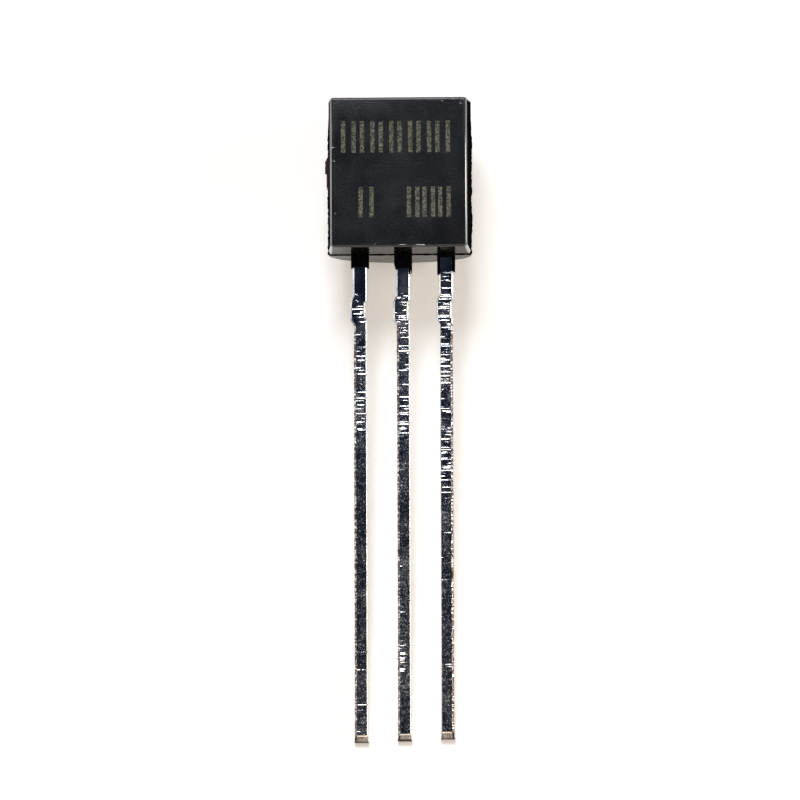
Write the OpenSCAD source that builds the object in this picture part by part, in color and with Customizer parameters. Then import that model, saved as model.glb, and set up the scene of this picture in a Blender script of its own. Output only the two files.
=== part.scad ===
// Small-signal transistor in a moulded three-lead package, in millimetres.
// The local frame has X to the right, Y up the package and Z out of its flat front.
// The leads' middle plane is Z = 0 and the body's bottom edge is Y = 0.
// lay_down() then rests the transistor on its round back and its lead tips.

/* [Body] */
// Width of the body at the parting line
body_w = 4.2; // [4:0.05:5.2]
// Height of the body at the parting line
body_h = 4.58; // [4.4:0.02:5.4]
// Depth from the parting line to the flat front
front_depth = 1.25; // [1.1:0.01:1.6]
// Straight stretch of the sides behind the parting line, before the half-round back
rear_straight = 0.2; // [0.05:0.01:0.5]
// How far each side of the front half leans in
side_draft = 0.09; // [0.05:0.005:0.25]
// How far the top of the front half leans in
top_draft = 0.05; // [0.05:0.005:0.25]
// How far the bottom of the front half leans in
bottom_draft = 0.11; // [0.05:0.005:0.25]
// Radius of the edges round the flat front
edge_r = 0.07; // [0.03:0.01:0.15]

/* [Gate scar and flash] */
// Height of the gate scar's lower end above the body's bottom
gate_y = 1.9; // [0.8:0.05:2.6]
// Height of the gate scar
gate_h = 1.05; // [0.5:0.05:1.5]
// How far the torn part of the scar stands out of the left side
gate_proud = 0.11; // [0.06:0.01:0.2]
// How far the clean ledge of the scar stands out
ledge_proud = 0.06; // [0.03:0.01:0.1]
// Thickness of the gate scar, front to back
gate_t = 0.46; // [0.2:0.02:0.7]
// Thickness of the flash along the parting line
flash_t = 0.05; // [0.03:0.01:0.1]
// How far the flash stands out at most
flash_proud = 0.045; // [0.02:0.005:0.08]
// Distance below the body's top at which the flash ends
flash_gap = 0.48; // [0.2:0.02:1.4]

/* [Resin collars] */
// Thickness of the resin left on each side of a lead under the body
collar_side = 0.04; // [0.03:0.01:0.1]
// Thickness of the resin left in front of a lead and behind it
collar_face = 0.06; // [0.03:0.01:0.12]
// Length of the resin on the left side of each lead, from left to right
collar_left = [0.4, 0.3, 0.6]; // [0.1:0.02:0.9]
// Length of the resin on the right side of each lead
collar_right = [0.4, 0.6, 0.52]; // [0.1:0.02:0.9]
// Length of the resin over the faces of each lead
collar_mid = [0.38, 0.42, 0.1]; // [0.05:0.01:0.6]

/* [Leads] */
// Distance between the middles of neighbouring leads
pitch = 1.27; // [1.2:0.01:1.35]
// Width of a lead from its stub to its tip
lead_w = 0.38; // [0.3:0.01:0.42]
// Width of a lead between the body and its stub
neck_w = 0.44; // [0.42:0.01:0.5]
// Thickness of a lead
lead_t = 0.38; // [0.3:0.01:0.5]
// Length of the longest lead below the body
lead_len = 14.42; // [8:0.1:20]
// Radius of a lead's long edges
lead_edge = 0.08; // [0.03:0.01:0.1]
// How much shorter each lead was sheared, from left to right
lead_trim = [0, 0.04, 0.09]; // [0:0.01:0.2]
// How far the lead frame sits to the right of the body's middle
frame_shift = 0.09; // [0:0.01:0.12]
// Length of the slanted face that the shear left at a tip
shear_len = 0.2; // [0.1:0.01:0.4]
// Thickness left at the very tip
shear_t = 0.16; // [0.1:0.01:0.25]
// Burr that the shear pushed out on each side of a tip
burr = 0.025; // [0.01:0.005:0.05]
// Height of the burr
burr_h = 0.05; // [0.02:0.01:0.1]

/* [Dam-bar stubs] */
// Distance from the body to the top of a stub
stub_y = 1.24; // [0.8:0.02:2]
// Height of the full part of a stub
stub_h = 0.56; // [0.3:0.02:1]
// Height of the slopes above and below a stub
stub_slope = 0.15; // [0.05:0.01:0.3]
// How far a stub stands out of the left side of its lead's neck
stub_proud = 0.08; // [0.04:0.01:0.2]
// Depth of the nick that the trimming punch left in the right side
nick = 0.05; // [0.02:0.01:0.08]

/* [Lead frame inside the body] */
// Resin between the top of the body and the top of the die pad
pad_cover = 0.53; // [0.3:0.01:0.8]
// Height of a wire post's head
post_h = 0.7; // [0.4:0.05:0.9]
// Width of a wire post's head
post_w = 0.82; // [0.5:0.02:0.9]
// Width of the die pad
pad_w = 1.7; // [1.4:0.05:1.9]
// Height of the die pad
pad_h = 1.9; // [1.6:0.05:2]
// Gap between the wire posts and the die pad
pad_gap = 0.4; // [0.25:0.05:0.45]
// Distance of the pad's middle from the middle lead
pad_x = 0.14; // [-0.1:0.02:0.2]
// Height of the arm that joins the pad to its lead
arm_h = 0.6; // [0.3:0.05:0.8]
// Diameter of the hole that locks the resin to the pad
lock_hole_d = 0.4; // [0.2:0.05:0.5]

/* [Die and bond wires] */
// Side of the square silicon die
die_w = 0.7; // [0.4:0.05:0.9]
// Thickness of the die
die_t = 0.22; // [0.15:0.01:0.3]
// Thickness of the solder under the die
solder_t = 0.03; // [0.02:0.01:0.05]
// How far the solder shows round the die
solder_edge = 0.05; // [0.02:0.01:0.1]
// Distance of the die's lower edge from the pad's lower edge
die_edge = 0.3; // [0.15:0.05:0.35]
// Diameter of a bond wire
wire_d = 0.05; // [0.03:0.005:0.07]
// Rise of a bond wire's arc above the line between its ends
wire_rise = 0.3; // [0.2:0.02:0.35]

/* [Hidden] */
$fn = 96;
// Steps of a rounded edge, and sides of a bond wire
edge_steps = 5;
wire_sides = 8;
// Shares of the gate scar's height: the ledge's ends, then the torn lump's foot, dip and crest
ledge_span = [0.1, 0.5];
lump_span = [0.55, 0.72, 0.88];
lump_dip = 0.9;
// Steps along the flash, how much of it comes and goes, in how many waves, and how it runs out
flash_steps = 12;
flash_ripple = 0.4;
flash_waves = 2.5;
flash_fade = 6;
// How far what joins the case reaches into it
root_depth = 0.1;
rear_depth = rear_straight + body_w / 2;
lead_x = [for (i = [-1:1]) frame_shift + i * pitch];
flash_top = body_h - flash_gap;
// The lead frame's inside end is placed down from the top of the body
pad_top = body_h - pad_cover;
pad_bottom = pad_top - pad_h;
post_top = pad_bottom - pad_gap;
pad_mid = frame_shift + pad_x;
die_mid = [pad_mid, pad_bottom + die_edge + die_w / 2];
solder_w = die_w + 2 * solder_edge;
die_top = lead_t / 2 + solder_t + die_t;
post_mid = post_top - post_h / 2;
// The balls of the two wires stand a quarter of the die apart from its middle
ball_step = die_w / 4;
ball_d = 2.2 * wire_d;
bond_h = 1.2 * wire_d;
// Resting pose: the back's lower edge and the longest lead's tip touch the ground
lie = atan((rear_depth - lead_t / 2) / lead_len);
y_high = body_h * cos(lie) + rear_depth * sin(lie);
y_low = -lead_len * cos(lie) - (shear_t - lead_t / 2) * sin(lie);
x_mid = (flash_proud - gate_proud) / 2;

module lay_down() {
    translate([-x_mid, -(y_high + y_low) / 2, rear_depth * cos(lie)])
        rotate([lie, 0, 0]) children();
}

// Turns an outline drawn in X and Z into a block along Y, from y0 to y1
module along_y(y0, y1) {
    translate([0, y1, 0]) rotate([90, 0, 0]) linear_extrude(y1 - y0) children();
}

// Turns an outline drawn in Y and Z into a block along X, from x0 to x1
module along_x(x0, x1) {
    translate([x0, 0, 0]) rotate([90, 0, 90]) linear_extrude(x1 - x0) children();
}

// Points of a rounded corner whose edges are level and lean in by draft, at its right end
function corner(x, draft) =
    let (
        lean = atan(draft / front_depth),
        cut = edge_r * tan((90 - lean) / 2),
        c = [x - draft - cut, front_depth - edge_r]
    )
    [for (i = [0:edge_steps]) let (a = lean + i * (90 - lean) / edge_steps)
        c + edge_r * [cos(a), sin(a)]];

// The same corner at the left end, in the order that the outline needs
function left_corner(x, draft) =
    let (p = corner(-x, draft), n = len(p) - 1)
    [for (i = [0:n]) [-p[n - i][0], p[n - i][1]]];

// Front half of the body in outline: two leaning sides and a flat top with rounded corners
module drafted_half(x0, x1, draft0, draft1) {
    polygon(concat([[x0, 0], [x1, 0]], corner(x1, draft1), left_corner(x0, draft0)));
}

// The D of the body seen along the leads
module d_outline() {
    drafted_half(-body_w / 2, body_w / 2, side_draft, side_draft);
    translate([-body_w / 2, -rear_straight]) square([body_w, rear_straight]);
    translate([0, -rear_straight]) intersection() {
        circle(d = body_w);
        translate([-body_w, -body_w]) square([2 * body_w, body_w]);
    }
}

// The body seen from its side, with the front's top and bottom leaning in
module side_outline() {
    drafted_half(0, body_h, bottom_draft, top_draft);
    translate([0, -rear_depth]) square([body_h, rear_depth]);
}

module body_blank() {
    intersection() {
        along_y(0, body_h) d_outline();
        along_x(-body_w, body_w) side_outline();
    }
}

// Scar where the runner was broken off: a clean ledge below a torn lump, on the left side
module gate_scar() {
    side = -body_w / 2;
    translate([0, 0, -gate_t / 2]) linear_extrude(gate_t) polygon([
        [side + root_depth, gate_y],
        [side, gate_y],
        [side - ledge_proud, gate_y + ledge_span[0] * gate_h],
        [side - ledge_proud, gate_y + ledge_span[1] * gate_h],
        [side - gate_proud, gate_y + lump_span[0] * gate_h],
        [side - lump_dip * gate_proud, gate_y + lump_span[1] * gate_h],
        [side - gate_proud, gate_y + lump_span[2] * gate_h],
        [side, gate_y + gate_h],
        [side + root_depth, gate_y + gate_h]
    ]);
}

// How far the flash stands out at a share s of its height
function flash_out(s) =
    let (wave = 0.5 + 0.5 * sin(360 * flash_waves * s))
    flash_proud * (1 - flash_ripple * wave) * min(1, flash_fade * (1 - s));

// Thin ragged fin of resin along one side of the parting line
module flash_fin() {
    side = body_w / 2;
    edge = [for (i = [0:flash_steps]) let (s = i / flash_steps)
        [side + flash_out(s), s * flash_top]];
    translate([0, 0, -flash_t / 2]) linear_extrude(flash_t)
        polygon(concat([[side - root_depth, 0]], edge, [[side - root_depth, flash_top]]));
}

// Resin that crept down lead i and stayed when the dam bar was trimmed
module resin_collar(i) {
    neck = neck_w / 2;
    w = neck + collar_side;
    t = lead_t + 2 * collar_face;
    translate([lead_x[i], 0, -t / 2]) linear_extrude(t) polygon([
        [-w, root_depth],
        [-w, -collar_left[i]],
        [-neck, -collar_left[i]],
        [-neck, -collar_mid[i]],
        [neck, -collar_mid[i]],
        [neck, -collar_right[i]],
        [w, -collar_right[i]],
        [w, root_depth]
    ]);
}

// Cross-section of a lead with its long edges rounded by the drawing die
module lead_section(w) {
    x = w / 2 - lead_edge;
    z = lead_t / 2 - lead_edge;
    polygon([for (q = [0:3], i = [0:edge_steps])
        let (a = 90 * q + 90 * i / edge_steps)
        [(q == 0 || q == 3 ? x : -x) + lead_edge * cos(a), (q < 2 ? z : -z) + lead_edge * sin(a)]]);
}

// Outline of what is left of the dam bar: proud on the left, with the punch's nick on the right
module stub_outline() {
    w = neck_w / 2;
    y1 = -stub_y - stub_slope;
    y2 = y1 - stub_h;
    polygon([
        [-w, -stub_y],
        [-w - stub_proud, y1],
        [-w - stub_proud, y2],
        [-lead_w / 2, y2 - stub_slope],
        [lead_w / 2, y2 - stub_slope],
        [w, y2],
        [w - nick, y2 + nick],
        [w - nick, y1 - nick],
        [w, y1],
        [w, -stub_y]
    ]);
}

// Outline of the flared tip
module burr_outline(len) {
    w = lead_w / 2;
    polygon([[-w, burr_h - len], [-w - burr, -len], [w + burr, -len], [w, burr_h - len]]);
}

// Stamped strip seen from its side: full thickness down to the slanted shear at its tip
module lead_side(len) {
    polygon([
        [body_h, -lead_t / 2],
        [body_h, lead_t / 2],
        [shear_len - len, lead_t / 2],
        [-len, shear_t - lead_t / 2],
        [-len, -lead_t / 2]
    ]);
}

// Lead i: its neck, stub and shank and, as children, the outline of its part inside the body
module stamped_lead(i) {
    len = lead_len - lead_trim[i];
    translate([lead_x[i], 0, 0]) intersection() {
        union() {
            along_y(-stub_y, 0) lead_section(neck_w);
            along_y(-len, -stub_y - stub_slope - stub_h) lead_section(lead_w);
            translate([0, 0, -lead_t / 2]) linear_extrude(lead_t) {
                stub_outline();
                burr_outline(len);
                children();
            }
        }
        along_x(-body_w, body_w) lead_side(len);
    }
}

// Inside end of an outer or middle lead: a stem with a wide head for its bond wire
module post_outline() {
    translate([-lead_w / 2, 0]) square([lead_w, post_mid]);
    translate([-post_w / 2, post_top - post_h]) square([post_w, post_h]);
}

// Inside end of the collector lead: a stem, an arm and the pad with its locking hole
module pad_outline() {
    stem = lead_w / 2;
    x0 = pad_mid - pad_w / 2 - lead_x[2];
    translate([-stem, 0]) square([lead_w, pad_bottom + arm_h]);
    translate([x0, pad_bottom]) square([stem - x0, arm_h]);
    difference() {
        translate([x0, pad_bottom]) square([pad_w, pad_h]);
        translate([x0 + pad_w / 2, pad_top - lock_hole_d]) circle(d = lock_hole_d);
    }
}

module emitter_lead() {
    color("#8a8d92") lay_down() emitter_strip();
}

module emitter_strip() {
    stamped_lead(0) post_outline();
}

module base_lead() {
    color("#8a8d92") lay_down() base_strip();
}

module base_strip() {
    stamped_lead(1) post_outline();
}

module collector_lead() {
    color("#8a8d92") lay_down() collector_strip();
}

module collector_strip() {
    stamped_lead(2) pad_outline();
}

// A square chip standing on the pad between two heights
module square_chip(w, z0, z1) {
    translate([die_mid[0] - w / 2, die_mid[1] - w / 2, z0]) cube([w, w, z1 - z0]);
}

module solder_film() {
    square_chip(solder_w, lead_t / 2, lead_t / 2 + solder_t);
}

module chip() {
    square_chip(die_w, lead_t / 2 + solder_t, die_top);
}

module die_attach() {
    color("#b9bcc0") lay_down() solder_film();
}

module silicon_die() {
    color("#4a4f5c") lay_down() chip();
}

// Wire from a ball on the die at p to a flattened bond on a post at q
module bond_wire(p, q) {
    span = norm(q - p);
    z0 = die_top + bond_h / 2;
    z1 = lead_t / 2 + bond_h / 2;
    chord = norm([span, z1 - z0]);
    r = chord * chord / (8 * wire_rise) + wire_rise / 2;
    up = [z0 - z1, span] / chord;
    centre = [span, z0 + z1] / 2 - up * (r - wire_rise);
    a0 = atan2(z0 - centre[1], -centre[0]);
    a1 = atan2(z1 - centre[1], span - centre[0]);
    translate([p[0], p[1], 0]) rotate([0, 0, atan2(q[1] - p[1], q[0] - p[0])]) {
        translate([centre[0], 0, centre[1]]) rotate([90, 0, 0]) rotate([0, 0, a1])
            rotate_extrude(angle = a0 - a1) translate([r, 0]) circle(d = wire_d, $fn = wire_sides);
        translate([0, 0, die_top]) cylinder(d = ball_d, h = bond_h, $fn = wire_sides);
        translate([span, 0, lead_t / 2]) cylinder(d = ball_d, h = bond_h, $fn = wire_sides);
    }
}

module emitter_wire() {
    bond_wire(die_mid - [ball_step, ball_step], [lead_x[0], post_mid]);
}

module base_wire() {
    bond_wire(die_mid + [ball_step, -ball_step], [lead_x[1], post_mid]);
}

module emitter_bond_wire() {
    color("#d8a93c") lay_down() emitter_wire();
}

module base_bond_wire() {
    color("#d8a93c") lay_down() base_wire();
}

// Everything that the resin is moulded round
module sealed_in() {
    emitter_strip();
    base_strip();
    collector_strip();
    solder_film();
    chip();
    emitter_wire();
    base_wire();
}

module moulded_case() {
    color("#26272b") lay_down() difference() {
        union() {
            body_blank();
            gate_scar();
            flash_fin();
            mirror([1, 0, 0]) flash_fin();
            for (i = [0:2]) resin_collar(i);
        }
        sealed_in();
    }
}

moulded_case();
emitter_lead();
base_lead();
collector_lead();
silicon_die();
die_attach();
emitter_bond_wire();
base_bond_wire();
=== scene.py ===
"""Looks of a small transistor in a moulded three-lead package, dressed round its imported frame."""

import math
import random

import bmesh
import bpy
from mathutils import Matrix, Vector, noise


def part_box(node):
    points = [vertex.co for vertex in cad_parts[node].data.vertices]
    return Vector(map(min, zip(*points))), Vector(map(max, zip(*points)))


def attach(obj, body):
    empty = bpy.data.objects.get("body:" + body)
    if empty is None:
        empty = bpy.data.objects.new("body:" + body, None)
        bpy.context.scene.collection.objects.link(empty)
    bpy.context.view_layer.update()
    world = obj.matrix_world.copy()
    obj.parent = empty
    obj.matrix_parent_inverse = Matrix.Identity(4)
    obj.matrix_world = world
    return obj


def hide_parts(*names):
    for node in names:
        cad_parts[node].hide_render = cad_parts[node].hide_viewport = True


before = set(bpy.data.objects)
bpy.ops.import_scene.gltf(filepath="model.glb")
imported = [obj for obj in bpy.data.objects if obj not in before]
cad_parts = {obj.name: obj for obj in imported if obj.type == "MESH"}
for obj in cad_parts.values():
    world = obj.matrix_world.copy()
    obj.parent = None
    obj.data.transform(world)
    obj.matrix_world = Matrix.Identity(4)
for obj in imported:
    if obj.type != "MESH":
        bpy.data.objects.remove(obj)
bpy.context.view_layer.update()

bl_info = {
    "name": "Moulded transistor",
    "version": (1, 0, 0),
    "blender": (4, 5, 0),
    "location": "View3D > Sidebar > Transistor",
    "description": "Makes the case, the leads and the stage of a small moulded transistor",
    "category": "Add Mesh",
}

MM = 0.001
LEADS = ("emitter_lead", "base_lead", "collector_lead")
# Places of the finishes in the list that case_materials makes
MOULDED, HIGHLIT_EDGE_AND_CHIPS, SHADED_WALL_AND_FLASH, TORN, WIPED = range(5)
# Two finishes that meet at more than this angle have a sharp seam
SEAM_TURN = math.radians(2)
# Corners of the case are sharp above this angle, and those of a rippled lead above the next
CORNER_TURN = math.radians(35)
RIPPLE_TURN = math.radians(70)
# Rounded faces that turn less than this to the side belong to a level edge, which gets no painted
# highlight
UPRIGHT_EDGE = 0.1
# Over 1, the cut at a tip starts in a small roll before its slope
CUT_ROLL = 1.3
# Trim reaches this far into the body, so that it joins it
EMBED = 0.1 * MM
# Steps along the flash, and round the back
FLASH_STEPS = 160
ARC_STEPS = 96
# The bottom flash stops short of the corners by this
FLASH_SHORT = 0.02 * MM
# Depth of the light knocks in the front
CHIP_DEPTH = 0.012 * MM
# How far a collar stands out beside its lead and in front of it
COLLAR_SIDE = 0.04 * MM
COLLAR_FRONT = 0.06 * MM
# Lengths in millimetres of each collar under the body: its left side, left of the lead, across the
# lead, right of the lead and its right side
COLLARS = (
    (0.4, 0.39, 0.38, 0.39, 0.4), (0.3, 0.46, 0.42, 0.45, 0.6), (0.6, 0.58, 0.1, 0.5, 0.52),
)
# How much shorter than the longest lead each one is, in millimetres
LEAD_TRIMS = (0, 0.04, 0.09)
# The side that the punch left rough on each lead: -1 is left and 1 is right
ROUGH_SIDES = (-1, -1, 1)
# How many millimetres below the body each lead's dense ridges end, and the share of its ridges
# that run past its left edge, and as many past its right
DENSE_TO = (5.2, 5.4, 7.6)
WHOLE_SHARE = (0.35, 0.4, 0.6)
LEAD_SEED = 40
# Distance between a lead's rings, and the least that two of them keep
RING_STEP = 0.03 * MM
RING_APART = 0.0015 * MM
# Height over which the burr flares out at a tip
BURR_TALL = 0.06 * MM
# Waviness of a whole lead and of its rough side, in millimetres
WAVE_MM = 0.004
ROUGH_WAVE_MM = 0.018
# All of a lead's relief fades in over this way below the body
FADE_IN = 0.2 * MM
# The sealed ends of the frame, in millimetres: the posts' half width and reach up the body, and
# the die pad's left side from the middle of its lead, its width, its reach and its arm's top
POST_HALF, POST_LOW, POST_HIGH = 0.41, 1.05, 1.75
PAD_LEFT, PAD_WIDE, PAD_LOW, PAD_HIGH, ARM_TOP = -1.98, 1.7, 2.15, 4.05, 2.75
# Round room of the stage, in metres
ROOM_RADIUS = 2.0
ROOM_TALL = 2.3
ROOM_SIDES = 64
# Light that the paper adds for the camera and in reflections
PAPER_LIFT = 0.37
# Camera: picture width in pixels, sensor width, and the middle of the picture in the package
PICTURE_WIDE = 800
SENSOR_WIDE = 36.0
AIM = (-0.016 * MM, -4.307 * MM, 0)


def mm(name, default, description):
    """A length that a user may change, given in millimetres and kept in metres."""
    return bpy.props.FloatProperty(
        name=name, description=description, default=default * MM, unit="LENGTH", precision=6)


def hex_colour(name, default, description):
    """A colour that a user may change, written as an sRGB hex value."""
    return bpy.props.StringProperty(name=name, description=description, default=default)


class CaseSizes(bpy.types.PropertyGroup):
    """Sizes of the moulded case, as in the CAD model."""

    width: mm("Width", 4.2, "Width across the parting line")
    height: mm("Height", 4.58, "Height at the parting line")
    front: mm("Front depth", 1.25, "From the parting line to the flat front")
    straight: mm("Straight sides", 0.2, "From the parting line to the start of the round back")
    side_draft: mm("Side draft", 0.09, "How far each side of the front half leans in")
    top_draft: mm("Top draft", 0.05, "How far the top of the front half leans in")
    bottom_draft: mm("Bottom draft", 0.11, "How far the bottom of the front half leans in")
    edge: mm("Front edge", 0.07, "Radius of the edges round the flat front")
    back_edge: mm("Back edge", 0.03, "Radius of the edges round the back")
    flash: mm("Flash", 0.045, "How far the flash stands out at most")
    flash_top: mm("Flash height", 4.1, "Height at which the flash ends")
    flash_thick: mm("Flash thickness", 0.05, "Thickness of the flash")
    gate_y: mm("Gate height", 1.9, "Lower end of the gate scar above the bottom")
    gate_tall: mm("Gate length", 1.05, "Length of the gate scar")
    gate_out: mm("Gate stand-out", 0.11, "How far the torn part of the scar stands out")
    gate_ledge: mm("Gate ledge", 0.06, "How far the clean part of the scar stands out")
    gate_thick: mm("Gate thickness", 0.46, "Thickness of the gate scar")


class LeadSizes(bpy.types.PropertyGroup):
    """Sizes of the three leads, as in the CAD model."""

    pitch: mm("Pitch", 1.27, "Distance between neighbouring leads")
    shift: mm("Frame shift", 0.09, "How far the lead frame sits to the right")
    width: mm("Width", 0.38, "Width of a lead below its stub")
    neck: mm("Neck width", 0.44, "Width of a lead above its stub")
    thick: mm("Thickness", 0.38, "Thickness of a lead")
    length: mm("Length", 14.42, "Length of the longest lead below the body")
    edge: mm("Edge", 0.08, "Radius of a lead's long edges")
    keen_edge: mm("Keen edge", 0.03, "Radius that the punch left on the other edge below the stub")
    stub_y: mm("Stub distance", 1.24, "From the body to the top of a stub")
    stub_tall: mm("Stub height", 0.56, "Height of the full part of a stub")
    stub_slope: mm("Stub slope", 0.15, "Height of the slopes above and below a stub")
    stub_out: mm("Stub stand-out", 0.08, "How far a stub stands out on the left")
    nick: mm("Nick", 0.05, "Depth of the trimming nick on the right of a stub")
    shear: mm("Sheared face", 0.2, "Length of the slanted face at a tip")
    tip: mm("Tip", 0.16, "Thickness left at the very tip")
    burr: mm("Burr", 0.025, "How far the burr stands out at a tip")


class StageSettings(bpy.types.PropertyGroup):
    """What the camera, the lamps and the backdrop share."""

    scale: bpy.props.FloatProperty(
        name="Pixels per millimetre", default=33.94,
        description="Scale of an 800 pixel wide picture at the leads")
    side: bpy.props.FloatProperty(
        name="Side angle", default=math.radians(1.76), subtype="ANGLE",
        description="How far the camera stands to the right of the flat front's axis")
    tilt: bpy.props.FloatProperty(
        name="Tilt", default=math.radians(5.5), subtype="ANGLE",
        description="How far the camera stands towards the lead tips")
    roll: bpy.props.FloatProperty(
        name="Roll", default=math.radians(0.2), subtype="ANGLE",
        description="Turn of the picture about the line of sight")
    distance: mm("Distance", 400, "From the camera to the leads")
    floor: hex_colour("Floor", "#fdfdfd", "Colour of the floor")


def linear(code):
    """The linear colour of an sRGB hex value."""
    parts = [int(code[i:i + 2], 16) / 255 for i in (1, 3, 5)]
    return (*(c / 12.92 if c <= 0.04045 else ((c + 0.055) / 1.055) ** 2.4 for c in parts), 1.0)


def add(tree, kind, settings=None, links=None):
    """Adds a node to a tree, with its settings and with the sockets that feed it."""
    made = tree.nodes.new(kind)
    for key, value in (settings or {}).items():
        if key == "stops":
            ramp = made.color_ramp
            while len(ramp.elements) < len(value):
                ramp.elements.new(0.5)
            for element, (place, colour) in zip(ramp.elements, value):
                element.position = place
                element.color = colour
        elif isinstance(key, int) or key in made.inputs:
            made.inputs[key].default_value = value
        else:
            setattr(made, key, value)
    for key, source in (links or {}).items():
        tree.links.new(source, made.inputs[key])
    return made


def new_material(name):
    """An empty node material with its output."""
    material = bpy.data.materials.new(name)
    material.use_nodes = True
    tree = material.node_tree
    tree.nodes.clear()
    return material, tree, add(tree, "ShaderNodeOutputMaterial")


def package_place(tree):
    """Coordinates in millimetres from the body's bottom: X across, Y up and Z out of its front."""
    place = add(tree, "ShaderNodeTexCoord")
    return add(tree, "ShaderNodeMapping", {
        "Location": package_matrix().inverted().translation / MM,
        "Rotation": (-lying_angle(), 0, 0),
        "Scale": (1 / MM, 1 / MM, 1 / MM),
    }, {"Vector": place.outputs["Object"]}).outputs["Vector"]


def pattern(tree, place, size_mm, detail=2.0, stretch=(1, 1, 1)):
    """Noise whose grains are about size_mm across, longer where stretch is over 1."""
    scaled = add(tree, "ShaderNodeMapping", {
        "Scale": tuple(1 / (size_mm * s) for s in stretch),
    }, {"Vector": place})
    return add(tree, "ShaderNodeTexNoise", {
        "Scale": 1.0, "Detail": detail, "Roughness": 0.6,
    }, {"Vector": scaled.outputs["Vector"]}).outputs["Fac"]


def epoxy(name, dark, light, shine, grain_mm, relief_mm, level=0.5, ior=1.5, wax=0.0):
    """Black epoxy: two tones in clouds, a roughness range and a grain of pits of a real size."""
    material, tree, out = new_material(name)
    place = package_place(tree)
    cloud = pattern(tree, place, 0.9, 5.0)
    pits = pattern(tree, place, grain_mm, 2.0)
    # Filler grains break up the clouds, so that neither shows as a smooth blot
    mixed = add(tree, "ShaderNodeMath", {"operation": "MULTIPLY_ADD", 1: 0.6}, {0: pits})
    tree.links.new(add(tree, "ShaderNodeMath", {"operation": "MULTIPLY", 1: 0.4}, {
        0: cloud}).outputs["Value"], mixed.inputs[2])
    colour = add(tree, "ShaderNodeValToRGB", {"stops": [
        (0.4, linear(dark)), (0.6, linear(light))]}, {"Fac": mixed.outputs["Value"]})
    rough = add(tree, "ShaderNodeMapRange", {
        "From Min": 0.3, "From Max": 0.7, "To Min": shine[0], "To Max": shine[1]}, {"Value": cloud})
    bump = add(tree, "ShaderNodeBump", {"Strength": 0.5, "Distance": relief_mm * MM}, {
        "Height": pits})
    shader = add(tree, "ShaderNodeBsdfPrincipled", {
        "IOR": ior, "Specular IOR Level": level,
        "Coat Weight": wax, "Coat Roughness": 0.1, "Coat IOR": ior,
    }, {
        "Base Color": colour.outputs["Color"],
        "Roughness": rough.outputs["Result"],
        "Normal": bump.outputs["Normal"],
    })
    tree.links.new(shader.outputs["BSDF"], out.inputs["Surface"])
    return material


def case_materials():
    """The finishes of the case: moulded, highlit edges and chips, shaded walls and flash, torn and
    wiped, in that order.
    """
    return [
        # Transfer moulded in a finely spark-eroded cavity: a satin black with a fine grain
        epoxy("moulded_epoxy", "#0c0d10", "#202125", (0.28, 0.36), 0.05, 0.012),
        # Painted highlight: upright edges get a lighter, glossier copy of the epoxy so that they
        # show a thin bright line; the light knocks in the front use it too
        epoxy("highlit_edge_and_chip_epoxy", "#17181a", "#2e2f31", (0.1, 0.16), 0.09, 0.0006, 0.5, 1.8, 1.0),
        # Painted shade: the side walls get a darker copy of the epoxy without any gloss, so they
        # stay black instead of showing the floor; the flash and the collars, dull resin, use it too
        epoxy("shaded_wall_and_flash_epoxy", "#08090a", "#151618", (0.5, 0.6), 0.07, 0.02, 0.0),
        # Broken resin shows its brown filler and scatters what falls on it
        epoxy("torn_epoxy", "#14100e", "#3a2c20", (0.7, 0.85), 0.06, 0.03, 0.3),
        # The wall over the leads is wiped clean by the die, so the leads and collars show in it
        epoxy("wiped_epoxy", "#0d0d0c", "#1f1e1b", (0.12, 0.2), 0.07, 0.002, 0.07),
    ]


def lasered_epoxy():
    """Epoxy burnt by a marking laser: a dull olive-grey crust of fine dots."""
    material, tree, out = new_material("lasered_epoxy")
    place = package_place(tree)
    # The laser's dots overlap at about 0.06 mm and leave dark gaps between them
    dots = pattern(tree, place, 0.06, 2.0)
    colour = add(tree, "ShaderNodeValToRGB", {"stops": [
        (0.38, linear("#2b2c29")), (0.5, linear("#575748")), (0.66, linear("#7d7b68"))]},
        {"Fac": dots})
    bump = add(tree, "ShaderNodeBump", {"Strength": 0.8, "Distance": 0.01 * MM}, {"Height": dots})
    shader = add(tree, "ShaderNodeBsdfPrincipled", {"IOR": 1.5, "Roughness": 0.75}, {
        "Base Color": colour.outputs["Color"], "Normal": bump.outputs["Normal"]})
    tree.links.new(shader.outputs["BSDF"], out.inputs["Surface"])
    return material


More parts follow.
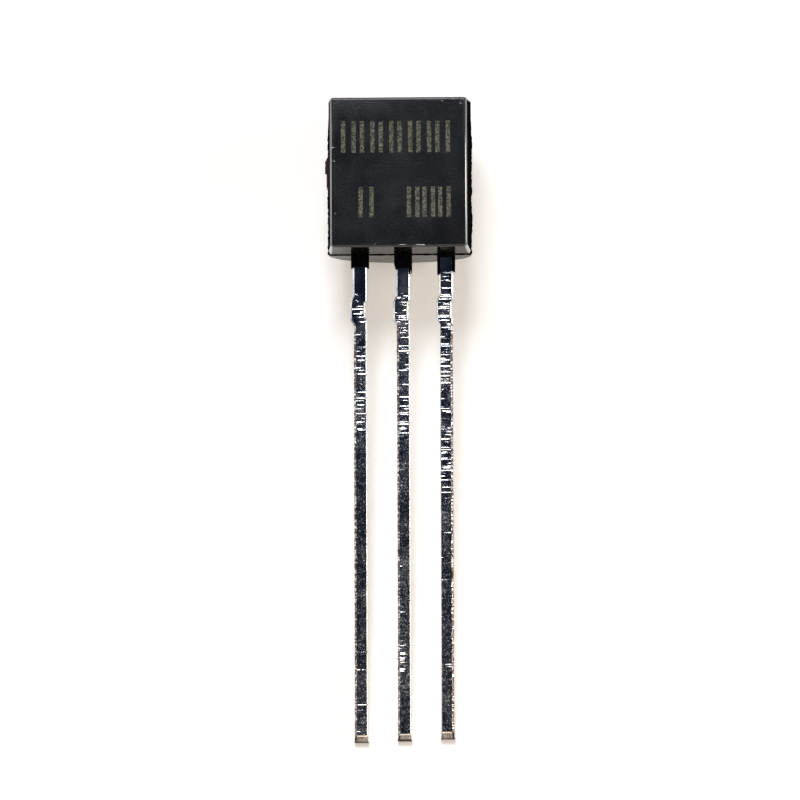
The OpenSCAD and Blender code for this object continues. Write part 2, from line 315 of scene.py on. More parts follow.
def tinned_strip():
    """Copper-alloy strip, stamped and tin plated: a bright mirror-like grey metal with stains."""
    material, tree, out = new_material("tinned_strip")
    place = package_place(tree)
    # Tin flows in cross bands about 0.1 mm apart, with slate-blue stains between bright spots
    bands = pattern(tree, place, 0.1, 3.0, (3, 1, 3))
    specks = pattern(tree, place, 0.06, 2.0)
    stains = pattern(tree, place, 0.4, 4.0, (1, 1.5, 1))
    colour = add(tree, "ShaderNodeValToRGB", {"stops": [
        (0.36, linear("#a9adb8")), (0.5, linear("#d3d5d8")), (0.64, linear("#efeeea"))]},
        {"Fac": stains})
    # Handling yellows the tin a little towards the tips
    height = add(tree, "ShaderNodeSeparateXYZ", {}, {"Vector": place}).outputs["Y"]
    lower = add(tree, "ShaderNodeMapRange", {
        "From Min": -5.0, "From Max": -9.0, "To Max": 0.5}, {"Value": height})
    colour = add(tree, "ShaderNodeMix", {"data_type": "RGBA", 7: linear("#d2cabd")}, {
        0: lower.outputs["Result"], 6: colour.outputs["Color"]})
    # The punch wiped the tin off one edge, where the strip's brown alloy comes through in teeth
    edge = add(tree, "ShaderNodeAttribute", {"attribute_name": "rough_edge"}).outputs["Fac"]
    teeth = pattern(tree, place, 0.055, 2.0, (2.5, 1, 2.5))
    bare = add(tree, "ShaderNodeMapRange", {"From Min": 0.42, "From Max": 0.48}, {"Value": teeth})
    bare = add(tree, "ShaderNodeMath", {"operation": "MULTIPLY"}, {
        0: bare.outputs["Result"], 1: edge})
    colour = add(tree, "ShaderNodeMix", {"data_type": "RGBA", 7: linear("#49322a")}, {
        0: bare.outputs["Value"], 6: colour.outputs[2]})
    shine = add(tree, "ShaderNodeMapRange", {
        "From Min": 0.3, "From Max": 0.7, "To Min": 0.1, "To Max": 0.22}, {"Value": stains})
    # Oxide dulls the tin below the stub in small specks, which scatter light to a soft grey-blue
    oxide = pattern(tree, place, 0.035, 3.0, (1, 1.4, 1))
    oxide = add(tree, "ShaderNodeMapRange", {
        "From Min": 0.5, "From Max": 0.68, "To Min": 0.0, "To Max": 0.2}, {"Value": oxide})
    worn = add(tree, "ShaderNodeMapRange", {"From Min": -1.9, "From Max": -2.6}, {"Value": height})
    shine = add(tree, "ShaderNodeMath", {"operation": "MULTIPLY_ADD"}, {
        0: oxide.outputs["Result"], 1: worn.outputs["Result"], 2: shine.outputs["Result"]})
    # Specks stand on the bands, and both tilt the mirror enough to flash white or go dark
    relief = add(tree, "ShaderNodeMath", {"operation": "MULTIPLY_ADD", 1: 0.5}, {
        0: specks, 2: bands})
    # Pinholes in the plating have steep rims, which show as grey-blue and white dots
    holes = pattern(tree, place, 0.045, 1.0, (1, 0.7, 1))
    rims = add(tree, "ShaderNodeMapRange", {"From Min": 0.56, "From Max": 0.64}, {"Value": holes})
    relief = add(tree, "ShaderNodeMath", {"operation": "MULTIPLY_ADD", 1: -0.05}, {
        0: rims.outputs["Result"], 2: relief.outputs["Value"]})
    bump = add(tree, "ShaderNodeBump", {"Strength": 0.42, "Distance": 0.02 * MM}, {
        "Height": relief.outputs["Value"]})
    shader = add(tree, "ShaderNodeBsdfPrincipled", {"Metallic": 1.0}, {
        "Base Color": colour.outputs[2],
        "Roughness": shine.outputs["Value"],
        "Normal": bump.outputs["Normal"],
    })
    tree.links.new(shader.outputs["BSDF"], out.inputs["Surface"])
    return material


def sheared_metal():
    """The bare, torn metal of a sheared tip: pale, dull and dragged along the cut."""
    material, tree, out = new_material("sheared_metal")
    place = package_place(tree)
    drag = pattern(tree, place, 0.05, 2.0, (1, 4, 4))
    colour = add(tree, "ShaderNodeValToRGB", {"stops": [
        (0.35, linear("#6d655b")), (0.65, linear("#b3aca0"))]}, {"Fac": drag})
    # The burr at the very end is burnt brown by the cut
    edge = add(tree, "ShaderNodeAttribute", {"attribute_name": "rough_edge"}).outputs["Fac"]
    colour = add(tree, "ShaderNodeMix", {"data_type": "RGBA", 7: linear("#3d2d24")}, {
        0: edge, 6: colour.outputs["Color"]})
    bump = add(tree, "ShaderNodeBump", {"Strength": 0.5, "Distance": 0.01 * MM}, {"Height": drag})
    shader = add(tree, "ShaderNodeBsdfPrincipled", {"Metallic": 1.0, "Roughness": 0.45}, {
        "Base Color": colour.outputs[2], "Normal": bump.outputs["Normal"]})
    tree.links.new(shader.outputs["BSDF"], out.inputs["Surface"])
    return material


def sealed_metal(name, dark, light, rough, grain_mm):
    """Metal of a piece sealed in the case: two tones in grains of grain_mm."""
    material, tree, out = new_material(name)
    grain = pattern(tree, package_place(tree), grain_mm)
    colour = add(tree, "ShaderNodeValToRGB", {"stops": [
        (0.35, linear(dark)), (0.65, linear(light))]}, {"Fac": grain})
    shader = add(tree, "ShaderNodeBsdfPrincipled", {"Metallic": 1.0, "Roughness": rough}, {
        "Base Color": colour.outputs["Color"]})
    tree.links.new(shader.outputs["BSDF"], out.inputs["Surface"])
    return material


def lying_angle():
    """How far the package's front leans off level, lying on its back and its lead tips."""
    case = bpy.context.scene.case_sizes
    lead = bpy.context.scene.lead_sizes
    return math.atan((back_depth(case) - lead.thick / 2) / lead.length)


def back_depth(case):
    """From the parting line to the crest of the round back."""
    return case.straight + case.width / 2


def package_matrix():
    """Takes the package's own frame, with Y up the package, to where the CAD model lies."""
    case = bpy.context.scene.case_sizes
    lead = bpy.context.scene.lead_sizes
    angle = lying_angle()
    back = back_depth(case)
    case_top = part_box("moulded_case")[1][1]
    low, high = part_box("base_lead")
    place = Vector((
        (low[0] + high[0]) / 2 - lead.shift,
        case_top - case.height * math.cos(angle) - back * math.sin(angle),
        back * math.cos(angle),
    ))
    return Matrix.Translation(place) @ Matrix.Rotation(angle, 4, "X")


def shade(bm, sharp):
    """Smooths faces, but not over corners sharper than sharp nor over seams between finishes."""
    for face in bm.faces:
        face.smooth = True
    for edge in bm.edges:
        turn = edge.calc_face_angle(0)
        kinds = {face.material_index for face in edge.link_faces}
        edge.smooth = turn < sharp and (len(kinds) == 1 or turn < SEAM_TURN)


def reshade(made, sharp):
    """Shades a mesh again after other meshes were joined to it or cut from it."""
    bm = bmesh.new()
    bm.from_mesh(made.data)
    shade(bm, sharp)
    bm.to_mesh(made.data)
    bm.free()


def finish_object(name, bm, materials, sharp=CORNER_TURN):
    """Turns a bmesh drawn in the package's frame into an object with smooth faces."""
    bm.transform(package_matrix())
    bmesh.ops.recalc_face_normals(bm, faces=bm.faces)
    shade(bm, sharp)
    mesh = bpy.data.meshes.new(name)
    bm.to_mesh(mesh)
    bm.free()
    for material in materials:
        mesh.materials.append(material)
    made = bpy.data.objects.new(name, mesh)
    bpy.context.collection.objects.link(made)
    return made


def settle(made):
    """Applies an object's modifiers to its mesh."""
    graph = bpy.context.evaluated_depsgraph_get()
    mesh = bpy.data.meshes.new_from_object(made.evaluated_get(graph))
    made.modifiers.clear()
    made.data = mesh


def combine(made, other, operation):
    """Joins or cuts one closed mesh with another and removes the other."""
    step = made.modifiers.new(operation, "BOOLEAN")
    step.operation = operation
    step.solver = "EXACT"
    step.material_mode = "TRANSFER"
    step.object = other
    settle(made)
    bpy.data.objects.remove(other)


def prism(bm, outline, low, high):
    """A closed block: an outline of (x, y) points swept from low to high in Z."""
    rings = [[bm.verts.new((x, y, z)) for x, y in outline] for z in (low, high)]
    count = len(outline)
    for i in range(count):
        j = (i + 1) % count
        bm.faces.new((rings[0][i], rings[0][j], rings[1][j], rings[1][i]))
    bm.faces.new(rings[0])
    bm.faces.new(rings[1])


def body_mesh(case):
    """The D-shaped body, with its front half leaning in and every edge rounded."""
    bm = bmesh.new()
    weight = bm.edges.layers.float.new("bevel_weight_edge")
    half = case.width / 2
    turns = [math.pi * i / ARC_STEPS for i in range(ARC_STEPS + 1)]
    arc = [(half * math.cos(turn), -case.straight - half * math.sin(turn)) for turn in turns]
    flat = half - case.side_draft
    outline = [(-flat, case.front), (flat, case.front), (half, 0), *arc, (-half, 0)]
    ends = []
    for top in (False, True):
        ring = []
        for x, z in outline:
            lean = max(z, 0) / case.front
            y = case.height - case.top_draft * lean if top else case.bottom_draft * lean
            ring.append(bm.verts.new((x, y, z)))
        ends.append(ring)
    count = len(outline)
    for i in range(count):
        j = (i + 1) % count
        bm.faces.new((ends[0][i], ends[0][j], ends[1][j], ends[1][i]))
    for ring in ends:
        bm.faces.new((ring[-1], ring[0], ring[1], ring[2]))
        bm.faces.new(ring[2:])
    # Painted shade: the walls of the front half take the darker, glossless copy of the epoxy, and
    # the wall over the leads takes the wiped finish
    for face in bm.faces:
        middle = face.calc_center_median()
        if 0 < middle.z < 0.9 * case.front:
            face.material_index = SHADED_WALL_AND_FLASH if middle.y > case.height / 4 else WIPED
    for edge in bm.edges:
        z = [v.co.z for v in edge.verts]
        across = abs(edge.verts[0].co.y - edge.verts[1].co.y) < case.height / 2
        if max(z) > case.front / 2 and (across or min(z) > case.front / 2):
            edge[weight] = 1.0
        elif across and edge.calc_face_angle(0) > math.radians(45):
            edge[weight] = case.back_edge / case.edge
    return bm


def slab(bm, outer, inner):
    """A closed slab between two grids of points of the same size."""
    grids = [[[bm.verts.new(p) for p in row] for row in grid] for grid in (outer, inner)]
    rows = len(outer)
    cols = len(outer[0])
    for grid in grids:
        for i in range(rows - 1):
            for j in range(cols - 1):
                bm.faces.new((grid[i][j], grid[i + 1][j], grid[i + 1][j + 1], grid[i][j + 1]))
    rim = [(i, 0) for i in range(rows)]
    rim += [(rows - 1, j) for j in range(1, cols)]
    rim += [(i, cols - 1) for i in range(rows - 2, -1, -1)]
    rim += [(0, j) for j in range(cols - 2, 0, -1)]
    for (i, j), (k, n) in zip(rim, rim[1:] + rim[:1]):
        bm.faces.new((grids[0][i][j], grids[0][k][n], grids[1][k][n], grids[1][i][j]))


def side_flash(case, side, seed):
    """Outer and inner points of the ragged flash along one side of the parting line."""
    root = case.width / 2 - EMBED
    half = case.flash_thick / 2
    outer = []
    inner = []
    for i in range(FLASH_STEPS + 1):
        share = i / FLASH_STEPS
        wave = 0.62 + 0.5 * noise.noise((share * 9, seed, 0))
        fray = 0.55 * noise.noise((share * 45, seed, 5))
        out = case.flash * min(1, 6 * (1 - share)) * max(0.1, min(1, wave + fray))
        y = share * case.flash_top
        outer.append([(side * (case.width / 2 + out), y, z) for z in (-half, half)])
        inner.append([(side * root, y, z) for z in (-half, half)])
    return outer, inner


def bottom_flash(case):
    """Outer and inner points of the thin flash along the bottom of the parting line."""
    half = case.flash_thick / 3
    outer = []
    inner = []
    for i in range(FLASH_STEPS + 1):
        x = (2 * i / FLASH_STEPS - 1) * (case.width / 2 - FLASH_SHORT)
        out = (0.024 + 0.012 * noise.noise((x / MM * 6, 2.2, 0))) * MM
        outer.append([(x, -out, z) for z in (-half, half)])
        inner.append([(x, EMBED, z) for z in (-half, half)])
    return outer, inner


def add_body_trim(case, made, materials):
    """Joins the flash and the torn gate scar to the body."""
    # The flash takes the same darker, glossless copy of the epoxy that paints shade on the side
    # walls
    trims = (
        ("flash", SHADED_WALL_AND_FLASH, side_flash(case, -1, 3.1)),
        ("flash", SHADED_WALL_AND_FLASH, side_flash(case, 1, 8.4)),
        ("flash", SHADED_WALL_AND_FLASH, bottom_flash(case)),
        ("gate", TORN, gate_scar(case)),
    )
    for name, finish, grids in trims:
        bm = bmesh.new()
        slab(bm, *grids)
        combine(made, finish_object(name, bm, [materials[finish]]), "UNION")


def gate_scar(case):
    """Outer and inner points of the scar: a clean ledge below, and a torn lump above it."""
    rows = 44
    cols = 18
    side = -case.width / 2
    outer = []
    inner = []
    for i in range(rows + 1):
        share = i / rows
        ledge = share < 0.5
        end = min(1, 10 * share, 5 * (1 - share))
        out = (case.gate_ledge if ledge else case.gate_out) * end
        rough = (0.004 if ledge else 0.034) * MM * end
        outer.append([])
        inner.append([])
        for j in range(cols + 1):
            across = j / cols - 0.5
            rag = rough * (noise.noise((share * 13, across * 7, 1)) - 0.4)
            rag += rough * 0.6 * noise.noise((share * 40, across * 20, 4))
            round_off = 1 - 1.2 * across * across
            y = case.gate_y + case.gate_tall * share
            outer[-1].append((side - out * round_off - rag, y, across * case.gate_thick))
            inner[-1].append((side + EMBED, y, across * case.gate_thick))
    return outer, inner


def collar_outline(lead, number):
    """Outline of the resin left round one lead under the body, from left to right."""
    neck = lead.neck / 2
    side = neck + COLLAR_SIDE
    far_left, near_left, middle, near_right, far_right = (long * MM for long in COLLARS[number])
    return [
        (-side, EMBED), (-side, -far_left), (-neck, -near_left), (-neck, -middle),
        (neck, -middle), (neck, -near_right), (side, -far_right), (side, EMBED),
    ]


def add_collars(lead, made, material):
    """Joins the resin collars to the body."""
    thick = lead.thick / 2 + COLLAR_FRONT
    for number in range(len(LEADS)):
        bm = bmesh.new()
        x = lead.shift + (number - 1) * lead.pitch
        outline = [(x + a, b) for a, b in collar_outline(lead, number)]
        prism(bm, outline, -thick, thick)
        combine(made, finish_object("collar", bm, [material]), "UNION")


def cut_marks(case, made, mark):
    """Burns two rows of plain upright bars into the front."""
    bm = bmesh.new()
    top = case.front + 0.05 * MM
    floor = case.front - 0.01 * MM
    bar = 0.13 * MM
    # Middle, height and left ends of the bars of each row, in millimetres
    rows = (
        (3.36, 0.94, [-1.69 + 0.555 * i + d for i in range(6) for d in (0, 0.31)]),
        (1.43, 0.9, [-1.18, -0.86] + [0.24 + 0.46 * i + d for i in range(3) for d in (0, 0.25)]),
    )
    for middle, tall, lefts in rows:
        for left in lefts:
            x = left * MM
            y = middle * MM
            outline = [(x, y - tall * MM / 2), (x + bar, y - tall * MM / 2),
                       (x + bar, y + tall * MM / 2), (x, y + tall * MM / 2)]
            prism(bm, outline, floor, top)
    combine(made, finish_object("marks", bm, [mark]), "DIFFERENCE")


def cut_chips(case, made, material):
    """Chips a few light knocks out of the front beside its edges."""
    # Middle in x and y, length and width in millimetres, and turn in degrees of each chip
    knocks = (
        (-1.94, 3.05, 0.16, 0.04, 4), (-1.9, 2.65, 0.1, 0.04, -25), (1.86, 4.39, 0.16, 0.03, 78),
        (1.81, 4.36, 0.1, 0.02, 84), (0.12, 0.17, 0.3, 0.03, 2), (0.62, 0.16, 0.4, 0.03, -1),
        (-1.86, 1.1, 0.07, 0.03, 40), (1.3, 4.42, 0.09, 0.03, 10), (-0.7, 0.19, 0.08, 0.03, 20),
    )
    bm = bmesh.new()
    for x, y, long, wide, turn in knocks:
        shape = Matrix.Translation((x * MM, y * MM, case.front))
        shape = shape @ Matrix.Rotation(math.radians(turn), 4, "Z")
        shape = shape @ Matrix.Diagonal((long * MM / 2, wide * MM / 2, CHIP_DEPTH, 1))
        bmesh.ops.create_icosphere(bm, subdivisions=2, radius=1, matrix=shape)
    combine(made, finish_object("chips", bm, [material]), "DIFFERENCE")


def lead_sides(lead, y):
    """How far a lead reaches left and right of its middle at a height y below the body."""
    neck = lead.neck / 2
    shank = lead.width / 2
    y1 = lead.stub_y + lead.stub_slope
    y2 = y1 + lead.stub_tall
    y3 = y2 + lead.stub_slope
    left = [(0, neck), (lead.stub_y, neck), (y1, neck + lead.stub_out), (y2, neck + lead.stub_out),
            (y3, shank), (lead.length * 2, shank)]
    right = [(0, neck), (y1, neck), (y1 + lead.nick, neck - lead.nick),
             (y2 - lead.nick, neck - lead.nick), (y2, neck), (y3, shank), (lead.length * 2, shank)]
    return along(left, y), along(right, y)


def along(points, y):
    """The value at y on a line of (y, value) points."""
    for (y0, a), (y1, b) in zip(points, points[1:]):
        if y <= y1:
            return a + (b - a) * max(0, y - y0) / (y1 - y0)
    return points[-1][1]


# Scuffed places of each lead: from and to below the body in millimetres, how many scuffs, and the
# range across the lead, in half widths, where they start
SCUFFS = (
    ((5.0, 5.3, 5, -1.0, -0.3), (12.9, 13.0, 2, 0.2, 0.5)),
    ((5.0, 5.25, 4, -0.9, -0.4), (11.45, 12.35, 14, -1.1, -0.7)),
    ((0.55, 1.15, 14, -0.2, 0.5), (5.1, 5.5, 5, -0.3, 0.3), (12.15, 12.25, 2, 0.0, 0.4)),
)


def chatter(lead, number, length):
    """Cross ridges that the dies left: middle, half-width, rise and the span across the lead."""
    rng = random.Random(LEAD_SEED + number)
    worked = lead.stub_y + lead.stub_tall + 3 * lead.stub_slope
    dense = DENSE_TO[number] * MM
    whole = WHOLE_SHARE[number]
    ridges = []
    y = lead.stub_y - 0.06 * MM
    while y < length - 1.5 * lead.shear:
        half = rng.uniform(0.009, 0.016) * MM
        rise = rng.uniform(0.1, 0.65) * half * rng.choice((-1, 1))
        start = -1.5 if rng.random() < whole else rng.uniform(-1, 0.6)
        stop = 1.5 if rng.random() < whole else start + rng.uniform(0.3, 1.3)
        if y > dense:
            # Below the dies only faint rubs are left, and they seldom cross the whole lead
            rise *= rng.uniform(0.3, 0.8)
            stop = min(stop, start + rng.uniform(0.8, 2.6))
        ridges.append((y, half, rise, start, stop))
        if y < worked:
            y += rng.uniform(0.04, 0.085) * MM
        elif y < dense:
            y += rng.uniform(0.04, 0.12) * MM
        else:
            y += rng.uniform(0.2, 1.2) * MM
    for low, high, count, left, right in SCUFFS[number]:
        for _ in range(count):
            half = rng.uniform(0.012, 0.02) * MM
            start = rng.uniform(left, right)
            ridges.append((rng.uniform(low, high) * MM, half, rng.uniform(0.4, 0.7) * half,
                           start, start + rng.uniform(0.3, 0.8)))
    return ridges


def window(value, start, stop):
    """1 between start and stop, falling to 0 over a short way outside them."""
    return max(0.0, min(1.0, (value - start) * 6, (stop - value) * 6))


def ring_heights(lead, ridges, length):
    """Heights of a lead's rings: even steps, and more of them across each ridge."""
    heights = [RING_STEP * i for i in range(-4, int(length / RING_STEP))]
    for y, half, _, _, _ in ridges:
        heights += [y + half * share for share in (-1, -0.6, -0.25, 0, 0.25, 0.6, 1)]
    heights += [length - lead.shear, length - BURR_TALL, length]
    kept = []
    for y in sorted(heights):
        if y <= length and (not kept or y - kept[-1] > RING_APART):
            kept.append(y)
    kept[-1] = length
    return kept


def section(left, right, thick, radii):
    """Points of a rounded oblong from its right side over its front, with their outward normals."""
    corners = (
        (right, thick, radii[1]), (-left, thick, radii[0]),
        (-left, -thick, radii[0]), (right, -thick, radii[1]),
    )
    points = []
    for quarter, (x, z, r) in enumerate(corners):
        for i in range(6):
            angle = math.pi / 2 * (quarter + i / 5)
            c = math.cos(angle)
            s = math.sin(angle)
            points.append((x - math.copysign(r, x) + r * c, z - math.copysign(r, z) + r * s, c, s))
        x1, z1, r1 = corners[(quarter + 1) % 4]
        x0, z0, c, s = points[-1]
        across = x1 - math.copysign(r1, x1) + r1 * c - x0
        ahead = z1 - math.copysign(r1, z1) + r1 * s - z0
        # The front is cut finer, for its ridges
        between = (2, 6, 2, 2)[quarter]
        for i in range(1, between):
            t = i / between
            points.append((x0 + across * t, z0 + ahead * t, c, s))
    return points


def lead_mesh(lead, number, length):
    """One lead below the body: rings of a rounded section, from the body to the sheared tip."""
    bm = bmesh.new()
    rough_edge = bm.verts.layers.float.new("rough_edge")
    ridges = chatter(lead, number, length)
    rough_side = ROUGH_SIDES[number]
    below = lead.stub_y + lead.stub_slope + lead.stub_tall
    rings = []
    for y in ring_heights(lead, ridges, length):
        left, right = lead_sides(lead, max(y, 0))
        flare = lead.burr * max(0, 1 - (length - y) / BURR_TALL)
        shank = max(0, min(1, (y - below) / lead.stub_slope))
        keen = lead.edge + (lead.keen_edge - lead.edge) * shank
        radii = (lead.edge, keen) if rough_side < 0 else (keen, lead.edge)
        cut = max(0, 1 - (length - y) / lead.shear) ** CUT_ROLL
        front = lead.thick / 2 - cut * (lead.thick - lead.tip)
        near = [ridge for ridge in ridges if abs(y - ridge[0]) < 1.01 * ridge[1]]
        ring = []
        for x, z, nx, nz in section(left + flare, right + flare, lead.thick / 2, radii):
            across = x / (lead.neck / 2)
            rough = shank * max(0, min(1, (across * rough_side - 0.45) * 4))
            bulge = WAVE_MM * MM * noise.noise(
                (x / MM * 5, y / MM * 5, z / MM * 5 + 9 * number))
            for middle, half, rise, start, stop in near:
                d = (y - middle) / half
                bulge += rise * max(0, 1 - d * d) ** 2 * window(across, start, stop)
            bulge += rough * ROUGH_WAVE_MM * MM * noise.noise(
                (7 * number, y / MM * 14, 2 + across))
            bulge *= max(0, min(1, y / FADE_IN))
            vert = bm.verts.new((x + bulge * nx, -y, min(z, front) + bulge * nz))
            vert[rough_edge] = 1 if length - y < lead.shear / 5 else rough
            ring.append(vert)
        rings.append(ring)
    size = len(rings[0])
    for upper, lower in zip(rings, rings[1:]):
        for i in range(size):
            j = (i + 1) % size
            bm.faces.new((upper[i], upper[j], lower[j], lower[i]))
    bm.faces.new(rings[0])
    bm.faces.new(rings[-1]).material_index = 1
    for face in bm.faces:
        middle = face.calc_center_median()
        if middle.y < 0.85 * lead.shear - length and middle.z > 0.6 * lead.tip - lead.thick / 2:
            face.material_index = 1
    return bm


def inner_outline(number, lead):
    """Outline of a lead's end sealed in the case: two wire posts and the die pad."""
    stem = lead.width / 2 / MM
    if LEADS[number] == "collector_lead":
        right = PAD_LEFT + PAD_WIDE
        points = [(-stem, 0), (stem, 0), (stem, ARM_TOP), (right, ARM_TOP), (right, PAD_HIGH),
                  (PAD_LEFT, PAD_HIGH), (PAD_LEFT, PAD_LOW), (-stem, PAD_LOW)]
    else:
        points = [(-stem, 0), (stem, 0), (stem, POST_LOW), (POST_HALF, POST_LOW),
                  (POST_HALF, POST_HIGH), (-POST_HALF, POST_HIGH), (-POST_HALF, POST_LOW),
                  (-stem, POST_LOW)]
    return [(x * MM, y * MM) for x, y in points]


class TRANSISTOR_OT_case(bpy.types.Operator):
    """Makes the moulded case with its flash, gate scar, collars and burnt marks"""

    bl_idname = "transistor.case"
    bl_label = "Moulded case"

    def execute(self, context):
        case = context.scene.case_sizes
        materials = case_materials()
        made = finish_object("case", body_mesh(case), materials)
        bevel = made.modifiers.new("edges", "BEVEL")
        bevel.limit_method = "WEIGHT"
        bevel.width = case.edge
        bevel.segments = 4
        bevel.material = HIGHLIT_EDGE_AND_CHIPS
        settle(made)
        # Painted highlight: only the upright edges keep the lighter, glossier edge copy, and the
        # level ones go back to the moulded finish
        for face in made.data.polygons:
            if face.material_index == HIGHLIT_EDGE_AND_CHIPS and abs(face.normal.x) < UPRIGHT_EDGE:
                face.material_index = MOULDED
        add_body_trim(case, made, materials)
        # The collars take the same darker, glossless copy of the epoxy that paints shade on the
        # side walls
        add_collars(context.scene.lead_sizes, made, materials[SHADED_WALL_AND_FLASH])
        cut_chips(case, made, materials[HIGHLIT_EDGE_AND_CHIPS])
        cut_marks(case, made, lasered_epoxy())
        reshade(made, CORNER_TURN)
        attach(made, "root")
        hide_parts("moulded_case")
        return {"FINISHED"}


class TRANSISTOR_OT_leads(bpy.types.Operator):
    """Makes the three tinned leads with their stubs, dents and sheared tips"""

    bl_idname = "transistor.leads"
    bl_label = "Leads"

    def execute(self, context):
        lead = context.scene.lead_sizes
        materials = [tinned_strip(), sheared_metal()]
        for number, (node, trim) in enumerate(zip(LEADS, LEAD_TRIMS)):
            bm = lead_mesh(lead, number, lead.length - trim * MM)
            outline = inner_outline(number, lead)
            inner = bmesh.new()
            prism(inner, outline, -lead.thick / 2, lead.thick / 2)
            shift = Matrix.Translation((lead.shift + (number - 1) * lead.pitch, 0, 0))
            bm.transform(shift)
            inner.transform(shift)
            made = finish_object(node + "_strip", bm, materials, RIPPLE_TURN)
            combine(made, finish_object("inner", inner, materials), "UNION")
            reshade(made, RIPPLE_TURN)
            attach(made, "root")
            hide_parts(node)
        return {"FINISHED"}


class TRANSISTOR_OT_inside(bpy.types.Operator):
    """Gives the sealed chip, its solder and its bond wires their finishes"""

    bl_idname = "transistor.inside"
    bl_label = "Sealed pieces"

    def execute(self, context):
        finishes = {
            "silicon_die": sealed_metal("polished_silicon", "#3f4450", "#5a606e", 0.15, 0.2),
            "die_attach": sealed_metal("soft_solder", "#8c8f94", "#b9bcc0", 0.5, 0.05),
        }
        gold = sealed_metal("drawn_gold", "#c79a3a", "#e2bd62", 0.25, 0.03)
        finishes["emitter_bond_wire"] = gold
        finishes["base_bond_wire"] = gold
        for name, material in finishes.items():
            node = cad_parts[name]
            node.data.materials.clear()
            node.data.materials.append(material)
        return {"FINISHED"}


def seen_rays(tree):
    """1 for camera, glossy and transmission rays, and 0 for those that light the object."""
    ray = add(tree, "ShaderNodeLightPath")
    seen = add(tree, "ShaderNodeMath", {"operation": "MAXIMUM"}, {
        0: ray.outputs["Is Camera Ray"], 1: ray.outputs["Is Glossy Ray"]})
    return add(tree, "ShaderNodeMath", {"operation": "MAXIMUM"}, {
        0: seen.outputs["Value"], 1: ray.outputs["Is Transmission Ray"]}).outputs["Value"]


def paper(colour):
    """Matt white background paper, lifted to plain white for the camera and for reflections."""
    material, tree, out = new_material("background_paper")
    fibres = pattern(tree, package_place(tree), 4.0)
    tone = add(tree, "ShaderNodeValToRGB", {"stops": [
        (0.3, linear("#f7f7f6")), (0.7, linear(colour))]}, {"Fac": fibres})
    matt = add(tree, "ShaderNodeBsdfDiffuse", {}, {"Color": tone.outputs["Color"]})
    lift = add(tree, "ShaderNodeMath", {"operation": "MULTIPLY", 1: PAPER_LIFT}, {
        0: seen_rays(tree)})
    # The lift is a warm white, so the shadows turn beige while the open paper stays white
    glow = add(tree, "ShaderNodeEmission", {"Color": linear("#fff4e4")}, {
        "Strength": lift.outputs["Value"]})
    both = add(tree, "ShaderNodeAddShader", {}, {
        0: matt.outputs["BSDF"], 1: glow.outputs["Emission"]})
    tree.links.new(both.outputs["Shader"], out.inputs["Surface"])
    return material


def white_wall():
    """Backdrop that looks white to the camera and in reflections and gives no light itself."""
    material, tree, out = new_material("backdrop_cloth")
    matt = add(tree, "ShaderNodeBsdfDiffuse", {"Color": linear("#f2f2f0")})
    bright = add(tree, "ShaderNodeEmission", {"Color": linear("#fbfbf9"), "Strength": 1.0})
    mix = add(tree, "ShaderNodeMixShader", {}, {
        0: seen_rays(tree), 1: matt.outputs["BSDF"], 2: bright.outputs["Emission"]})
    tree.links.new(mix.outputs["Shader"], out.inputs["Surface"])
    return material


def stage_mesh(name, build, material):
    """A stage object from a function that fills a bmesh."""
    bm = bmesh.new()
    build(bm)
    mesh = bpy.data.meshes.new(name)
    bm.to_mesh(mesh)
    bm.free()
    mesh.materials.append(material)
    made = bpy.data.objects.new(name, mesh)
    bpy.context.collection.objects.link(made)
    return made


def lamp(name, place, wide, tall, power, colour):
    """A soft box that faces the transistor."""
    light = bpy.data.lights.new(name, "AREA")
    light.shape = "RECTANGLE"
    light.size = wide
    light.size_y = tall
    light.energy = power
    light.color = linear(colour)[:3]
    made = bpy.data.objects.new(name, light)
    made.location = place
    made.rotation_euler = (-Vector(place)).to_track_quat("-Z", "Y").to_euler()
    bpy.context.collection.objects.link(made)
    return made


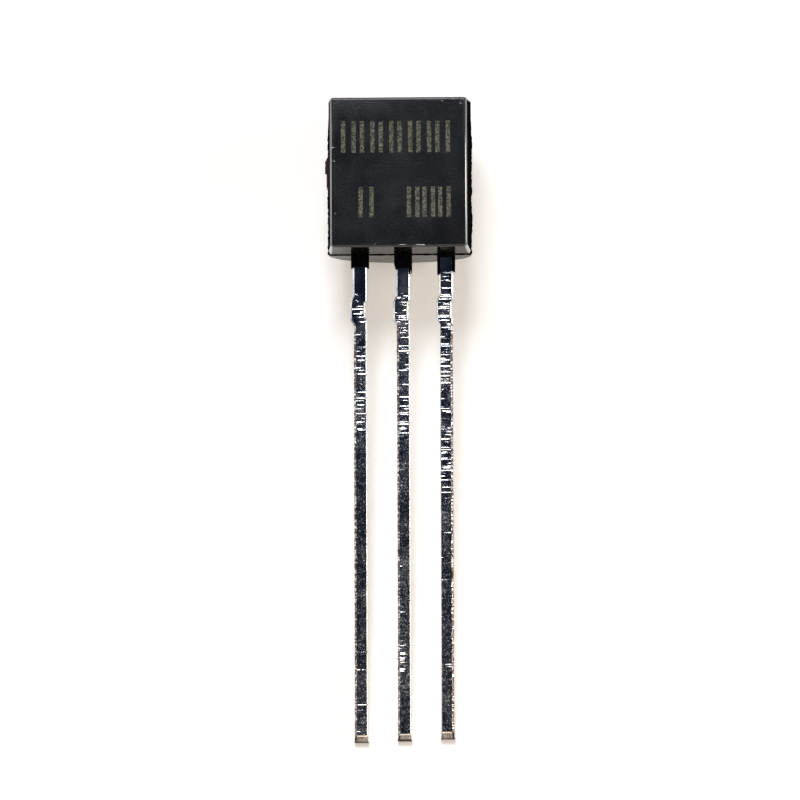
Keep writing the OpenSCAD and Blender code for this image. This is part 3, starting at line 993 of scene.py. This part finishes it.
class TRANSISTOR_OT_stage(bpy.types.Operator):
    """Makes the floor, the backdrop, the lamps and the camera"""

    bl_idname = "transistor.stage"
    bl_label = "Stage"

    def execute(self, context):
        setup = context.scene.stage_settings
        self.add_backdrop(setup)
        # Place, width and height in metres, watts and colour of each soft box
        lamp("key_lamp", (-0.08, 0.64, 1.03), 0.42, 0.42, 10.2, "#f2f6ff")
        lamp("right_strip", (1.0, 0.03, 0.5), 0.2, 0.9, 4.0, "#fff8f0")
        lamp("left_strip", (-1.0, 0.03, 0.5), 0.2, 0.9, 0.6, "#fff8f0")
        lamp("warm_fill", (0.1, -1.0, 0.75), 0.8, 0.8, 2.4, "#ffe2bd")
        world = bpy.data.worlds.new("studio")
        world.use_nodes = True
        background = world.node_tree.nodes["Background"]
        background.inputs["Color"].default_value = linear("#171f2e")
        background.inputs["Strength"].default_value = 1.0
        context.scene.world = world
        self.add_camera(context, setup)
        context.scene.view_settings.view_transform = "Standard"
        return {"FINISHED"}

    def add_backdrop(self, setup):
        def floor(bm):
            bmesh.ops.create_circle(
                bm, cap_ends=True, radius=ROOM_RADIUS, segments=ROOM_SIDES)

        def wall(bm):
            low, high = ([bm.verts.new((ROOM_RADIUS * math.cos(a), ROOM_RADIUS * math.sin(a), z))
                          for a in angles] for z in (0, ROOM_TALL))
            for i in range(ROOM_SIDES):
                j = (i + 1) % ROOM_SIDES
                bm.faces.new((low[j], low[i], high[i], high[j]))

        angles = [2 * math.pi * i / ROOM_SIDES for i in range(ROOM_SIDES)]
        stage_mesh("floor", floor, paper(setup.floor))
        stage_mesh("backdrop", wall, white_wall())

    def add_camera(self, context, setup):
        package = package_matrix()
        turn = package.to_3x3()
        back = turn @ Vector((math.tan(setup.side), -math.tan(setup.tilt), 1)).normalized()
        up = turn @ Vector((math.sin(setup.roll), math.cos(setup.roll), 0))
        target = package @ Vector(AIM)
        right = up.cross(back).normalized()
        up = back.cross(right)
        data = bpy.data.cameras.new("camera")
        width = PICTURE_WIDE / setup.scale * MM
        data.sensor_width = SENSOR_WIDE
        data.lens = data.sensor_width * setup.distance / width
        data.clip_start = 0.01
        data.clip_end = 20.0
        made = bpy.data.objects.new("camera", data)
        made.matrix_world = Matrix.Translation(target + back * setup.distance) @ Matrix(
            (right, up, back)).transposed().to_4x4()
        bpy.context.collection.objects.link(made)
        context.scene.camera = made


class TRANSISTOR_PT_panel(bpy.types.Panel):
    """Lists the pieces of the transistor and its stage"""

    bl_idname = "TRANSISTOR_PT_panel"
    bl_label = "Transistor"
    bl_space_type = "VIEW_3D"
    bl_region_type = "UI"
    bl_category = "Transistor"

    def draw(self, context):
        for operator in OPERATORS:
            self.layout.operator(operator.bl_idname)


GROUPS = {"case_sizes": CaseSizes, "lead_sizes": LeadSizes, "stage_settings": StageSettings}
OPERATORS = (TRANSISTOR_OT_case, TRANSISTOR_OT_leads, TRANSISTOR_OT_inside, TRANSISTOR_OT_stage)


def register():
    for group in (*GROUPS.values(), *OPERATORS, TRANSISTOR_PT_panel):
        bpy.utils.register_class(group)
    for name, group in GROUPS.items():
        setattr(bpy.types.Scene, name, bpy.props.PointerProperty(type=group))


def unregister():
    for name in GROUPS:
        delattr(bpy.types.Scene, name)
    for group in (TRANSISTOR_PT_panel, *reversed(OPERATORS), *reversed(GROUPS.values())):
        bpy.utils.unregister_class(group)


def main():
    register()
    bpy.ops.transistor.case()
    bpy.ops.transistor.leads()
    bpy.ops.transistor.inside()
    bpy.ops.transistor.stage()


if __name__ == "__main__":
    main()
